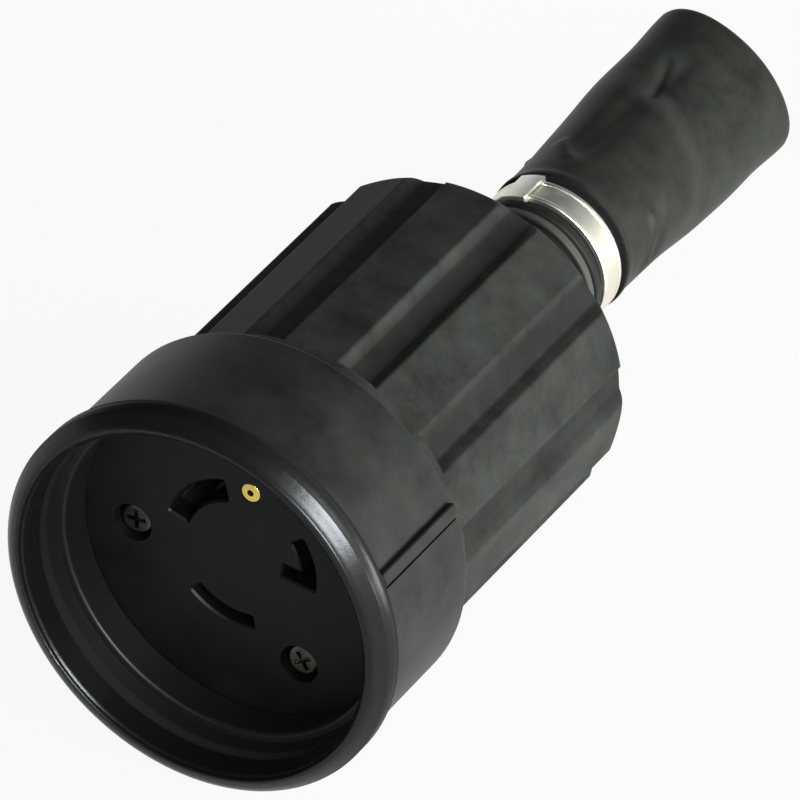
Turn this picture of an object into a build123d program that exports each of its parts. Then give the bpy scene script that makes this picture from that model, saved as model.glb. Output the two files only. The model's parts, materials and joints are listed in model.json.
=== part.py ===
from build123d import *
from math import acos, atan2, cos, degrees, hypot, pi, radians, sin, sqrt, tan
import os

os.makedirs("parts", exist_ok=True)

# Industrial cable coupler, the socket half of a twist-lock pair, lying on its side.
# Millimetres, +Z up. The coupler's axis runs along +Y from the socket to the cable and
# dips a little to the rear, because the lip is wider than the fluted grip behind it.
# "Depth" is the distance along that axis from the front rim. Angles are seen from the
# front, anticlockwise from +X.

# Driving dimensions: front hood, its walls and steps outwards from the socket face
seat_step = 0.8
seat_play = 0.2
flange_reach = 3.0
flange_thickness = 2.5
ledge_width = 1.4
ledge_depth = 9.5
mouth_taper = 0.9
mouth_edge = 1.0
lip_wall = 3.7
lip_width = 6.2
lip_nose = 2.4
lip_edge = 1.0
collar_step = 1.2
collar_taper = 0.1
collar_length = 23.4
collar_edge = 0.6
key_rib_width = 2.2
key_rib_height = 0.8
key_rib_angle = 27
key_channel_width = 0.9
key_channel_depth = 0.4

# Driving dimensions: socket face, outwards from the circle of its slots
face_depth = 16.0
face_thickness = 4.0
face_edge = 0.5
slot_circle = 12.5
ground_angle = 17
blade_count = 3
ground_slot_width = 2.6
ground_slot_sweep = 42
ground_foot_length = 3.6
neutral_slot_width = 3.8
neutral_slot_sweep = 58
line_slot_width = 2.4
line_slot_sweep = 54
slot_corner = 0.4
slot_bevel = 0.35
rivet_circle = 13.5
rivet_angle = 87
rivet_radius = 1.1
rivet_wall = 0.5
rivet_head_radius = 1.85
rivet_head_height = 0.5
face_rim = 9.75
face_screw_angle = 66
face_screw_count = 3
face_screw_radius = 2.0
face_screw_length = 14.0
face_screw_head_radius = 3.1
face_screw_head_height = 1.9
screw_recess_radius = 3.5
screw_recess_depth = 3.0

# Driving dimensions: contacts and their carrier
leaf_thickness = 0.7
leaf_setback = 3.0
leaf_overlap = 4
blade_play = 0.4
contact_depth = 13.0
contact_web = 1.2
carrier_margin = 3.4
carrier_length = 30.0
tab_width = 7.0
tab_thickness = 1.8
tab_length = 15.0
tab_radius = 10.6
clamp_plate_thickness = 0.9
clamp_plate_size = 6.4
terminal_screw_radius = 1.6
terminal_screw_head_radius = 2.9
terminal_screw_head_height = 1.8
terminal_screw_length = 5.2

# Driving dimensions: grip housing
band_step = 2.9
land_drop = 0.6
grip_wall = 5.4
grip_length = 57.1
flute_count = 11
flute_width = 8.0
flute_floor_width = 4.0
flute_depth = 1.9
flute_start = 4.4
flute_edge = 0.4
rear_round = 4.0
shoulder_length = 11.8
neck_radius = 16.0
neck_length = 4.0
neck_edge = 0.9
end_wall = 3.0
boss_radius = 4.2
boss_clearance = 0.4
boss_length = 22.0
insert_radius = 3.0
insert_length = 10.0
seal_section = 0.9
spigot_radius = 9.6
spigot_length = 18.5
barb_height = 0.6
barb_count = 3
cable_bore = 7.2

# Driving dimensions: cord grip inside the housing
grip_plate_radius = 19.0
grip_plate_thickness = 3.0
grip_length_inside = 13.0
grip_width = 31.0
grip_depth = 11.5
grip_bore = 6.6
saddle_wall = 2.8
saddle_ear = 4.0
saddle_gap = 1.2
grip_screw_radius = 1.5
grip_screw_head_radius = 2.6
grip_screw_head_height = 1.8
saddle_screw_margin = 3.5
saddle_screw_length = 12.0
base_screw_x = 13.0
base_screw_y = 10.0
base_screw_length = 8.0

# Driving dimensions: cable sleeve and its band clamp. The sleeve is soft, and with no
# cable in it its free end has gone flat.
boot_length = 74.5
boot_wall = 2.95
boot_skirt_wall = 1.55
boot_ring_width = 1.65
boot_ring_gap = 0.7
boot_ring_depth = 0.6
boot_thin_wall = 2.2
boot_flat_reach = 15.3
boot_flat_depth = 10.0
boot_flat_angle = -36
boot_round_length = 18.0
boot_end_edge = 0.8
boot_edge = 0.5
band_offset = 9.7
band_width = 5.6
band_thickness = 0.65
squeezed_wall = 2.05
bead_height = 0.25
bead_width = 0.9
band_groove_margin = 1.3
ear_angle = -141
ear_gap = 6.0
ear_height = 9.0
ear_screw_radius = 2.0
ear_screw_head_radius = 3.4
ear_screw_head_height = 2.2
nut_across = 7.0
nut_height = 3.0
clip_angle = 113
clip_sweep = 20
clip_thickness = 0.5
clip_hook = 1.1

# Clearances
fit_gap = 0.3
slip_gap = 0.05
touch_gap = 0.02

# Radii that follow outwards from the slot circle
carrier_radius = slot_circle + carrier_margin
face_screw_circle = carrier_radius + boss_clearance + boss_radius
face_radius = face_screw_circle + face_rim
seat_radius = face_radius + slip_gap
hood_bore = seat_radius - seat_step
flange_bore = hood_bore - flange_reach
ledge_radius = hood_bore + ledge_width
mouth_radius = ledge_radius + mouth_taper
lip_radius = mouth_radius + lip_wall
collar_radius = lip_radius - collar_step
collar_rear_radius = collar_radius - collar_taper
plain_band_radius = collar_rear_radius - band_step
land_radius = plain_band_radius - land_drop
cavity_radius = land_radius - grip_wall
seal_circle = (flange_bore + face_radius) / 2

# Radii that follow outwards from the spigot
boot_bore = spigot_radius + barb_height + slip_gap
boot_radius = boot_bore + boot_wall
band_radius = boot_bore + squeezed_wall
band_outside = band_radius + band_thickness

# Depths that follow from the lengths
hood_end = lip_width + collar_length
face_back = face_depth + face_thickness
flange_back = face_back + flange_thickness
grip_end = hood_end + grip_length
cavity_end = grip_end - end_wall
neck_start = grip_end + shoulder_length
neck_end = neck_start + neck_length
spigot_end = neck_end + spigot_length
boot_end = neck_end + boot_length
band_front = neck_end + band_offset
band_back = band_front + band_width

# Rest pose: the lip's rear edge and the rear corners of two lands touch the floor. The
# lands either side of the lowest groove carry the coupler.
lowest_groove = -90
land_half_angle = pi / flute_count - atan2(flute_width / 2, land_radius)
crest_radius = land_radius / cos(land_half_angle)
carry_radius = crest_radius * cos(atan2(flute_width / 2, crest_radius))
rear_turn = atan2(plain_band_radius - neck_radius, shoulder_length)
rear_centre = grip_end - rear_round * tan(rear_turn / 2)
rear_rise = crest_radius - (plain_band_radius - rear_round)
land_end = rear_centre + sqrt(rear_round**2 - rear_rise**2)
reach_across = (lip_radius - lip_edge) - carry_radius
reach_along = land_end - (lip_width - lip_edge)
reach = hypot(reach_across, reach_along)
tilt = acos(-lip_edge / reach) - atan2(reach_along, reach_across)
front_height = (lip_radius - lip_edge) * cos(tilt) + (lip_width - lip_edge) * sin(tilt) + lip_edge
foremost = lip_nose * cos(tilt) - (lip_radius - lip_nose) * sin(tilt) - lip_nose
flat_turn = radians(boot_flat_angle)
flat_height = hypot(boot_flat_reach * sin(flat_turn), boot_flat_depth * cos(flat_turn))
rearmost = (boot_end - boot_end_edge) * cos(tilt) + (flat_height - boot_end_edge) * sin(tilt)
rearmost += boot_end_edge
front_y = -(foremost + rearmost) / 2

# Planes of the coupler: across its axis at the front rim, and along it
front = Plane(
    origin=(0, front_y, front_height),
    x_dir=(1, 0, 0),
    z_dir=(0, -cos(tilt), sin(tilt)),
)
coupler_axis = Axis(front.origin, front.z_dir)


def station(depth, angle=0):
    """The plane across the axis at a depth, facing the front, turned by an angle."""
    turn = radians(angle)
    return Plane(
        origin=front.origin - front.z_dir * depth,
        x_dir=front.x_dir * cos(turn) + front.y_dir * sin(turn),
        z_dir=front.z_dir,
    )


def half_plane(angle=0):
    """The plane through the axis at an angle: x is the radius and y is the depth."""
    spoke = station(0, angle)
    return Plane(origin=spoke.origin, x_dir=spoke.x_dir, z_dir=spoke.y_dir)


def outward(depth, angle, radius):
    """The plane square to a spoke at a radius, facing outwards, y to the rear."""
    spoke = station(depth, angle)
    origin = spoke.from_local_coords((radius, 0, 0))
    return Plane(origin=origin, x_dir=-spoke.y_dir, z_dir=spoke.x_dir)


def sideways(depth, angle, radius, side):
    """The plane along a spoke, a distance to its side, facing away from the spoke."""
    spoke = station(depth, angle)
    origin = spoke.from_local_coords((radius, side, 0))
    direction = spoke.y_dir if side > 0 else -spoke.y_dir
    return Plane(origin=origin, x_dir=spoke.x_dir, z_dir=direction)


def corners(sketch, *points):
    """The corners of a sketch that are nearest to some points."""
    return [sketch.vertices().sort_by_distance(point)[0] for point in points]


def arc_slot(radius, width, sweep):
    """A curved slot with nearly square ends, its middle on the x direction."""
    with BuildSketch() as slot:
        with BuildLine():
            outer = CenterArc((0, 0), radius + width / 2, -sweep / 2, sweep)
            inner = CenterArc((0, 0), radius - width / 2, -sweep / 2, sweep)
            Line(outer @ 0, inner @ 0)
            Line(outer @ 1, inner @ 1)
        make_face()
        fillet(slot.vertices(), slot_corner)
    return slot.sketch


def leaf_width(slot_width):
    """The width over the outsides of a contact's two leaves, behind a slot."""
    return slot_width - 2 * blade_play + 2 * leaf_thickness


def foot_outline(width, sweep, length, extra=0):
    """The inward foot of the ground slot, at its clockwise end."""
    with BuildSketch() as foot:
        with BuildLine():
            Polyline(
                (slot_circle, -extra),
                (slot_circle - width / 2 - length - extra, -extra),
                (slot_circle - width / 2 - length - extra, width + extra),
                (slot_circle, width + extra),
                close=True,
            )
        make_face()
    return foot.sketch.rotate(Axis.Z, -sweep / 2)


def pan_screw(seat, radius, length, head_radius, head_height):
    """A cross-head screw whose pan head sits on a plane and whose shank goes below it."""
    cross_reach = head_radius * 1.15
    cross_width = head_radius * 0.26
    with BuildPart() as screw:
        with BuildSketch(seat):
            Circle(head_radius)
        extrude(amount=head_height)
        fillet(screw.edges().group_by(Axis(seat.origin, seat.z_dir))[-1], head_height * 0.45)
        with BuildSketch(seat):
            Circle(radius)
        extrude(amount=-length)
        chamfer(screw.edges().group_by(Axis(seat.origin, seat.z_dir))[0], radius * 0.3)
        with BuildSketch(seat.offset(head_height)):
            Rectangle(cross_reach, cross_width)
            Rectangle(cross_width, cross_reach)
        extrude(amount=-head_height * 0.6, mode=Mode.SUBTRACT)
    return screw.part


# Front hood: one moulded rubber ring. Its inner flange is held between the socket face
# and the housing, and its collar ends against the housing's shoulder.
with BuildPart() as front_hood:
    with BuildSketch(half_plane()) as hood_profile:
        with BuildLine():
            Polyline(
                (mouth_radius, 0),
                (lip_radius, 0),
                (lip_radius, lip_width),
                (collar_radius, lip_width),
                (collar_rear_radius, hood_end),
                (seat_radius, hood_end),
                (seat_radius, flange_back),
                (flange_bore, flange_back),
                (flange_bore, face_back),
                (seat_radius, face_back),
                (seat_radius, face_depth - seat_play),
                (hood_bore, face_depth - seat_play),
                (hood_bore, ledge_depth),
                (ledge_radius, ledge_depth),
                close=True,
            )
        make_face()
        fillet(corners(hood_profile, (lip_radius, 0)), lip_nose)
        fillet(corners(hood_profile, (lip_radius, lip_width)), lip_edge)
        fillet(corners(hood_profile, (mouth_radius, 0)), mouth_edge)
        fillet(
            corners(hood_profile, (collar_rear_radius, hood_end), (hood_bore, ledge_depth)),
            collar_edge,
        )
    revolve(axis=coupler_axis)
    channel_reach = 2 * (key_channel_depth + key_rib_height)
    channel_centre = collar_rear_radius - key_channel_depth + channel_reach / 2
    with BuildSketch(station(lip_width, key_rib_angle)):
        with Locations((channel_centre, 0)):
            Rectangle(channel_reach, key_rib_width + 2 * key_channel_width)
    extrude(amount=-collar_length, mode=Mode.SUBTRACT)
    rib_foot = (seat_radius + collar_rear_radius) / 2
    rib_top = collar_radius + key_rib_height
    with BuildSketch(station(lip_width / 2, key_rib_angle)) as rib_section:
        with Locations((rib_foot, 0)):
            Rectangle(rib_top - rib_foot, key_rib_width, align=(Align.MIN, Align.CENTER))
        fillet(rib_section.vertices().group_by(Axis.X)[-1], key_rib_height / 2)
    extrude(amount=-(hood_end - lip_width / 2 - collar_edge))
front_hood.part.label = "front_hood"
export_step(front_hood.part, "parts/front_hood.step")

# Seal ring: in a groove of the housing's front, against the hood's flange
with BuildPart() as seal_ring:
    with BuildSketch(half_plane()):
        with Locations((seal_circle, flange_back + seal_section + slip_gap)):
            Circle(seal_section)
    revolve(axis=coupler_axis)
seal_ring.part.label = "seal_ring"
export_step(seal_ring.part, "parts/seal_ring.step")

# The three blades: the slot, and the contact behind it, turned to their own angle
blade_pitch = 360 / blade_count
blades = {
    "ground": (ground_angle, ground_slot_width, ground_slot_sweep),
    "neutral": (ground_angle + blade_pitch, neutral_slot_width, neutral_slot_sweep),
    "line": (ground_angle - blade_pitch, line_slot_width, line_slot_sweep),
}
face_screw_places = {
    "top": face_screw_angle,
    "left": face_screw_angle + 360 / face_screw_count,
    "right": face_screw_angle - 360 / face_screw_count,
}

# Socket face: a moulded disc with the blade slots and recessed screw holes
with BuildPart() as socket_face:
    with BuildSketch(station(face_depth)):
        Circle(face_radius)
    extrude(amount=-face_thickness)
    chamfer(socket_face.edges().group_by(Axis(front.origin, front.z_dir))[-1], face_edge)
    for angle, width, sweep in blades.values():
        with BuildSketch(station(face_depth, angle)):
            add(arc_slot(slot_circle, width, sweep))
        extrude(amount=-face_thickness, mode=Mode.SUBTRACT)
    with BuildSketch(station(face_depth, ground_angle)):
        add(foot_outline(ground_slot_width, ground_slot_sweep, ground_foot_length))
    extrude(amount=-face_thickness, mode=Mode.SUBTRACT)
    front_face = socket_face.faces().sort_by(Axis(front.origin, front.z_dir))[-1]
    chamfer(front_face.inner_wires().edges(), slot_bevel)
    with Locations(station(face_depth, rivet_angle)):
        with Locations((rivet_circle, 0)):
            CounterBoreHole(
                radius=rivet_radius + touch_gap,
                counter_bore_radius=rivet_head_radius + touch_gap,
                counter_bore_depth=rivet_head_height,
                depth=face_thickness,
            )
    with Locations(station(face_depth, face_screw_angle)):
        with PolarLocations(face_screw_circle, face_screw_count):
            CounterBoreHole(
                radius=face_screw_radius + fit_gap,
                counter_bore_radius=screw_recess_radius,
                counter_bore_depth=screw_recess_depth,
                depth=face_thickness,
            )
socket_face.part.label = "socket_face"
export_step(socket_face.part, "parts/socket_face.step")

# Face rivet: a tubular brass rivet that ties the face to the carrier, sunk flush
with BuildPart() as face_rivet:
    with BuildSketch(half_plane(rivet_angle)) as rivet_profile:
        tail = flange_back
        head_seat = face_depth + rivet_head_height
        with BuildLine():
            Polyline(
                (rivet_circle + rivet_radius - rivet_wall, face_depth),
                (rivet_circle + rivet_head_radius, face_depth),
                (rivet_circle + rivet_head_radius, head_seat),
                (rivet_circle + rivet_radius, head_seat),
                (rivet_circle + rivet_radius, tail),
                (rivet_circle + rivet_head_radius, tail),
                (rivet_circle + rivet_head_radius, tail + rivet_head_height),
                (rivet_circle + rivet_radius - rivet_wall, tail + rivet_head_height),
                close=True,
            )
        make_face()
        fillet(
            corners(rivet_profile, (rivet_circle + rivet_head_radius, face_depth)),
            rivet_head_height * 0.8,
        )
    rivet_centre = station(0, rivet_angle).from_local_coords((rivet_circle, 0, 0))
    revolve(axis=Axis(rivet_centre, front.z_dir))
face_rivet.part.label = "face_rivet"
export_step(face_rivet.part, "parts/face_rivet.step")

# Face screws and the brass inserts that take them
for place, angle in face_screw_places.items():
    spoke = station(face_depth + screw_recess_depth, angle)
    seat = Plane(
        origin=spoke.from_local_coords((face_screw_circle, 0, 0)),
        x_dir=spoke.x_dir,
        z_dir=spoke.z_dir,
    )
    face_screw = pan_screw(
        seat,
        face_screw_radius,
        face_screw_length,
        face_screw_head_radius,
        face_screw_head_height,
    )
    face_screw.label = f"face_screw_{place}"
    export_step(face_screw, f"parts/face_screw_{place}.step")

    with BuildPart() as screw_insert:
        with BuildSketch(station(flange_back, angle)):
            with Locations((face_screw_circle, 0)):
                Circle(insert_radius)
                Circle(face_screw_radius + slip_gap, mode=Mode.SUBTRACT)
        extrude(amount=-insert_length)
    screw_insert.part.label = f"screw_insert_{place}"
    export_step(screw_insert.part, f"parts/screw_insert_{place}.step")

# Contact carrier: a flange under the face, a barrel with a pocket for each contact, and
# a notch for each terminal, open to the side and the rear
carrier_end = face_back + carrier_length
pocket_depth = contact_depth + fit_gap
notch_front = face_back + pocket_depth + contact_web
with BuildPart() as contact_carrier:
    with BuildSketch(station(face_back)):
        Circle(flange_bore - fit_gap)
    extrude(amount=-flange_thickness)
    with BuildSketch(station(flange_back)):
        Circle(carrier_radius)
    extrude(amount=-(carrier_length - flange_thickness))
    for angle, width, sweep in blades.values():
        with BuildSketch(station(face_back, angle)):
            add(arc_slot(slot_circle, leaf_width(width) + 2 * fit_gap, sweep + 2 * leaf_overlap))
        extrude(amount=-pocket_depth, mode=Mode.SUBTRACT)
        with BuildSketch(station(face_back + contact_depth / 2, angle)):
            with Locations((tab_radius + tab_thickness / 2, 0)):
                Rectangle(tab_thickness + 2 * slip_gap, tab_width + 2 * fit_gap)
        extrude(amount=-carrier_length, mode=Mode.SUBTRACT)
        with BuildSketch(station(notch_front, angle)):
            with Locations((tab_radius, 0)):
                Rectangle(carrier_radius, tab_width + 4 * fit_gap, align=(Align.MIN, Align.CENTER))
        extrude(amount=-carrier_length, mode=Mode.SUBTRACT)
        with BuildSketch(outward((notch_front + carrier_end) / 2, angle, tab_radius)):
            Circle(terminal_screw_radius + fit_gap)
        extrude(amount=-terminal_screw_length, mode=Mode.SUBTRACT)
    with BuildSketch(station(face_back, ground_angle)):
        add(
            foot_outline(
                ground_slot_width,
                ground_slot_sweep,
                ground_foot_length,
                leaf_thickness + fit_gap,
            )
        )
    extrude(amount=-pocket_depth, mode=Mode.SUBTRACT)
    with BuildSketch(station(face_back, rivet_angle)):
        with Locations((rivet_circle, 0)):
            Circle(rivet_radius + touch_gap)
    extrude(amount=-flange_thickness, mode=Mode.SUBTRACT)
    with BuildSketch(station(flange_back, rivet_angle)):
        with Locations((rivet_circle, 0)):
            Circle(rivet_head_radius + fit_gap)
    extrude(amount=-carrier_length, mode=Mode.SUBTRACT)
    with Locations(station(face_back, face_screw_angle)):
        with PolarLocations(face_screw_circle, face_screw_count):
            Hole(radius=face_screw_radius + fit_gap, depth=flange_thickness)
contact_carrier.part.label = "contact_carrier"
export_step(contact_carrier.part, "parts/contact_carrier.step")

# Contacts: two curved leaves that grip a blade, a web behind them and a terminal tab
terminal_depth = (notch_front + carrier_end) / 2
for name, (angle, width, sweep) in blades.items():
    leaf_sweep = sweep + leaf_overlap
    leaf_gap = leaf_width(width) - 2 * leaf_thickness
    leaf_front = face_back + leaf_setback
    web_front = face_back + contact_depth - contact_web
    with BuildPart() as contact:
        with BuildSketch(station(leaf_front, angle)):
            add(arc_slot(slot_circle, leaf_width(width), leaf_sweep))
            add(arc_slot(slot_circle, leaf_gap, 2 * leaf_sweep), mode=Mode.SUBTRACT)
        extrude(amount=-(contact_depth - leaf_setback))
        with BuildSketch(station(web_front, angle)):
            add(arc_slot(slot_circle, leaf_width(width), leaf_sweep))
        extrude(amount=-contact_web)
        with BuildSketch(station(web_front, angle)):
            with Locations((tab_radius, 0)):
                Rectangle(tab_thickness, tab_width, align=(Align.MIN, Align.CENTER))
        extrude(amount=-(contact_web + tab_length))
        with BuildSketch(outward(terminal_depth, angle, tab_radius + tab_thickness)):
            Circle(terminal_screw_radius + slip_gap)
        extrude(amount=-tab_thickness, mode=Mode.SUBTRACT)
    contact.part.label = f"contact_{name}"
    export_step(contact.part, f"parts/contact_{name}.step")

    plate_seat = outward(terminal_depth, angle, tab_radius + tab_thickness)
    with BuildPart() as clamp_plate:
        with BuildSketch(plate_seat):
            Rectangle(clamp_plate_size, clamp_plate_size)
            Circle(terminal_screw_radius + slip_gap, mode=Mode.SUBTRACT)
        extrude(amount=clamp_plate_thickness)
        across = Axis(plate_seat.origin, plate_seat.z_dir)
        chamfer(clamp_plate.edges().filter_by(across), clamp_plate_thickness)
    clamp_plate.part.label = f"clamp_plate_{name}"
    export_step(clamp_plate.part, f"parts/clamp_plate_{name}.step")

    terminal_screw = pan_screw(
        plate_seat.offset(clamp_plate_thickness),
        terminal_screw_radius,
        terminal_screw_length,
        terminal_screw_head_radius,
        terminal_screw_head_height,
    )
    terminal_screw.label = f"terminal_screw_{name}"
    export_step(terminal_screw, f"parts/terminal_screw_{name}.step")


def fluted_outline():
    """The grip's section: flat lands with sloped, flat-bottomed grooves between them."""
    groove_floor = crest_radius - flute_depth
    spread = (flute_width - flute_floor_width) / 2 / flute_depth
    above = 1.0
    with BuildSketch() as groove:
        with BuildLine():
            Polyline(
                (groove_floor, -flute_floor_width / 2),
                (crest_radius + above, -flute_width / 2 - above * spread),
                (crest_radius + above, flute_width / 2 + above * spread),
                (groove_floor, flute_floor_width / 2),
                close=True,
            )
        make_face()
    with BuildSketch() as outline:
        RegularPolygon(
            radius=land_radius,
            side_count=flute_count,
            major_radius=False,
            rotation=lowest_groove,
        )
        with PolarLocations(0, flute_count, start_angle=lowest_groove):
            add(groove.sketch, mode=Mode.SUBTRACT)
        fillet(outline.vertices(), flute_edge)
    return outline.sketch


# Grip housing: a fluted cup with bosses inside, a domed shoulder, a neck and a barbed
# spigot for the cable sleeve
barb_pitch = spigot_length / (barb_count + 1)
barb_points = []
for barb in range(barb_count):
    barb_front = neck_end + barb_pitch * (barb + 1)
    barb_points.append((spigot_radius, barb_front))
    barb_points.append((spigot_radius + barb_height, barb_front))
    barb_points.append((spigot_radius, barb_front + barb_pitch * 0.7))
with BuildPart() as grip_housing:
    with BuildSketch(half_plane()) as housing_profile:
        with BuildLine():
            Polyline(
                (0, flange_back),
                (face_radius, flange_back),
                (face_radius, hood_end),
                (plain_band_radius, hood_end),
                (plain_band_radius, grip_end),
                (neck_radius, neck_start),
                (neck_radius, neck_end),
                (spigot_radius, neck_end),
                *barb_points,
                (spigot_radius, spigot_end),
                (0, spigot_end),
                close=True,
            )
        make_face()
        fillet(corners(housing_profile, (plain_band_radius, grip_end)), rear_round)
        fillet(corners(housing_profile, (neck_radius, neck_end)), neck_edge)
        fillet(corners(housing_profile, (neck_radius, neck_start)), neck_edge)
    revolve(axis=coupler_axis)
    with BuildSketch(station(hood_end)):
        Circle(plain_band_radius + 1)
        RegularPolygon(
            radius=land_radius,
            side_count=flute_count,
            major_radius=False,
            rotation=lowest_groove,
            mode=Mode.SUBTRACT,
        )
    extrude(amount=-flute_start, mode=Mode.SUBTRACT)
    with BuildSketch(station(hood_end + flute_start)):
        Circle(plain_band_radius + 1)
        add(fluted_outline(), mode=Mode.SUBTRACT)
    extrude(amount=-(grip_length + shoulder_length - flute_start), mode=Mode.SUBTRACT)
    with BuildSketch(station(flange_back)):
        Circle(cavity_radius)
        with PolarLocations(face_screw_circle, face_screw_count, start_angle=face_screw_angle):
            Circle(boss_radius, mode=Mode.SUBTRACT)
            Rectangle(2 * boss_radius, boss_radius, align=(Align.MIN, Align.CENTER), mode=Mode.SUBTRACT)
    extrude(amount=-boss_length, mode=Mode.SUBTRACT)
    with BuildSketch(station(flange_back + boss_length)):
        Circle(cavity_radius)
    extrude(amount=-(cavity_end - flange_back - boss_length), mode=Mode.SUBTRACT)
    with BuildSketch(station(cavity_end)):
        Circle(cable_bore)
    extrude(amount=-(spigot_end - cavity_end), mode=Mode.SUBTRACT)
    with BuildSketch(half_plane()):
        with Locations((seal_circle, flange_back)):
            Rectangle(
                2 * (seal_section + slip_gap),
                2 * (seal_section + slip_gap),
                align=(Align.CENTER, Align.MIN),
            )
    revolve(axis=coupler_axis, mode=Mode.SUBTRACT)
    with Locations(station(flange_back, face_screw_angle)):
        with PolarLocations(face_screw_circle, face_screw_count):
            CounterBoreHole(
                radius=face_screw_radius + fit_gap,
                counter_bore_radius=insert_radius + touch_gap,
                counter_bore_depth=insert_length,
                depth=face_screw_length,
            )
    with Locations(station(cavity_end)):
        with Locations((-base_screw_x, base_screw_y), (base_screw_x, base_screw_y)):
            Hole(radius=grip_screw_radius + slip_gap, depth=base_screw_length)
grip_housing.part.label = "grip_housing"
export_step(grip_housing.part, "parts/grip_housing.step")

# Cord grip base: a plate on the housing's end wall with a trough for the cable
plate_front = cavity_end - grip_plate_thickness
saddle_screw_spacing = grip_width - 2 * saddle_screw_margin
trough_front = plate_front - grip_length_inside
trough_middle = (trough_front + plate_front) / 2
with BuildPart() as cord_grip_base:
    with BuildSketch(station(plate_front)):
        Circle(grip_plate_radius)
        Circle(cable_bore + fit_gap, mode=Mode.SUBTRACT)
        with Locations((-base_screw_x, base_screw_y), (base_screw_x, base_screw_y)):
            Circle(grip_screw_radius + slip_gap, mode=Mode.SUBTRACT)
    extrude(amount=-grip_plate_thickness)
    with BuildSketch(station(trough_front)):
        with Locations((0, -saddle_gap / 2)):
            Rectangle(grip_width, grip_depth, align=(Align.CENTER, Align.MAX))
        Circle(grip_bore, mode=Mode.SUBTRACT)
    extrude(amount=-grip_length_inside)
    for side in (-1, 1):
        top = outward(trough_middle, 90, -saddle_gap / 2)
        with BuildSketch(top):
            with Locations((side * saddle_screw_spacing / 2, 0)):
                Circle(grip_screw_radius + slip_gap)
        extrude(amount=-grip_depth, mode=Mode.SUBTRACT)
cord_grip_base.part.label = "cord_grip_base"
export_step(cord_grip_base.part, "parts/cord_grip_base.step")

# Cord grip saddle: the arch that presses the cable into the trough
with BuildPart() as cord_grip_saddle:
    with BuildSketch(station(trough_front)):
        Circle(grip_bore + saddle_wall)
        with Locations((0, saddle_gap / 2)):
            Rectangle(grip_width, saddle_ear, align=(Align.CENTER, Align.MIN))
            Rectangle(2 * grip_width, 2 * grip_width, align=(Align.CENTER, Align.MAX), mode=Mode.SUBTRACT)
        Circle(grip_bore, mode=Mode.SUBTRACT)
    extrude(amount=-grip_length_inside)
    with BuildSketch(outward(trough_middle, 90, saddle_gap / 2)):
        with Locations((-saddle_screw_spacing / 2, 0), (saddle_screw_spacing / 2, 0)):
            Circle(grip_screw_radius + slip_gap)
    extrude(amount=saddle_ear, mode=Mode.SUBTRACT)
cord_grip_saddle.part.label = "cord_grip_saddle"
export_step(cord_grip_saddle.part, "parts/cord_grip_saddle.step")

# Screws of the cord grip: one pair pulls the saddle down, one pair holds the base
for place, side in {"left": -1, "right": 1}.items():
    ear_top = outward(trough_middle, 90, saddle_gap / 2 + saddle_ear)
    saddle_seat = Plane(
        origin=ear_top.from_local_coords((side * saddle_screw_spacing / 2, 0, 0)),
        x_dir=ear_top.x_dir,
        z_dir=ear_top.z_dir,
    )
    saddle_screw = pan_screw(
        saddle_seat,
        grip_screw_radius,
        saddle_screw_length,
        grip_screw_head_radius,
        grip_screw_head_height,
    )
    saddle_screw.label = f"saddle_screw_{place}"
    export_step(saddle_screw, f"parts/saddle_screw_{place}.step")

    plate_plane = station(plate_front)
    base_seat = Plane(
        origin=plate_plane.from_local_coords((side * base_screw_x, base_screw_y, 0)),
        x_dir=plate_plane.x_dir,
        z_dir=plate_plane.z_dir,
    )
    base_screw = pan_screw(
        base_seat,
        grip_screw_radius,
        base_screw_length,
        grip_screw_head_radius,
        grip_screw_head_height,
    )
    base_screw.label = f"base_screw_{place}"
    export_step(base_screw, f"parts/base_screw_{place}.step")

# Cable sleeve: a soft tube over the spigot with two stiffening rings, a waist under the
# band, and a rear that goes from round to flat
boot_front = neck_end + slip_gap
waist = band_radius - slip_gap
groove_front = band_front - band_groove_margin
groove_back = band_back + band_groove_margin
ring_back = groove_front - boot_ring_width
ring_front = ring_back - boot_ring_gap - boot_ring_width
ring_notch = boot_radius - boot_ring_depth
skirt_radius = boot_bore + boot_skirt_wall
round_end = boot_front + boot_round_length
flat_gap = boot_end - round_end
with BuildPart() as cord_boot:
    with BuildSketch(half_plane()) as boot_profile:
        with BuildLine():
            Polyline(
                (0, boot_front),
                (skirt_radius, boot_front),
                (skirt_radius, ring_front),
                (boot_radius, ring_front),
                (boot_radius, ring_back - boot_ring_gap),
                (ring_notch, ring_back - boot_ring_gap),
                (ring_notch, ring_back),
                (boot_radius, ring_back),
                (boot_radius, groove_front),
                (waist, groove_front),
                (waist, groove_back),
                (boot_radius, groove_back),
                (boot_radius, round_end),
                (0, round_end),
                close=True,
            )
        make_face()
        fillet(
            corners(
                boot_profile,
                (boot_radius, ring_front),
                (boot_radius, ring_back - boot_ring_gap),
                (boot_radius, ring_back),
                (boot_radius, groove_front),
                (boot_radius, groove_back),
            ),
            boot_edge,
        )
    revolve(axis=coupler_axis)
    with BuildSketch(station(round_end, boot_flat_angle)):
        Circle(boot_radius)
    with BuildSketch(station(boot_end, boot_flat_angle)):
        Ellipse(boot_flat_reach, boot_flat_depth)
    loft()
    fillet(cord_boot.edges().sort_by(Axis(front.origin, front.z_dir))[0], boot_end_edge)
    with BuildSketch(station(boot_front)):
        Circle(boot_bore)
    extrude(amount=-(round_end - boot_front), mode=Mode.SUBTRACT)
    with BuildSketch(station(round_end, boot_flat_angle)):
        Circle(boot_bore)
    with BuildSketch(station(boot_end, boot_flat_angle)):
        Ellipse(boot_flat_reach - boot_thin_wall, boot_flat_depth - boot_thin_wall)
    loft(mode=Mode.SUBTRACT)
cord_boot.part.label = "cord_boot"
export_step(cord_boot.part, "parts/cord_boot.step")

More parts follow.
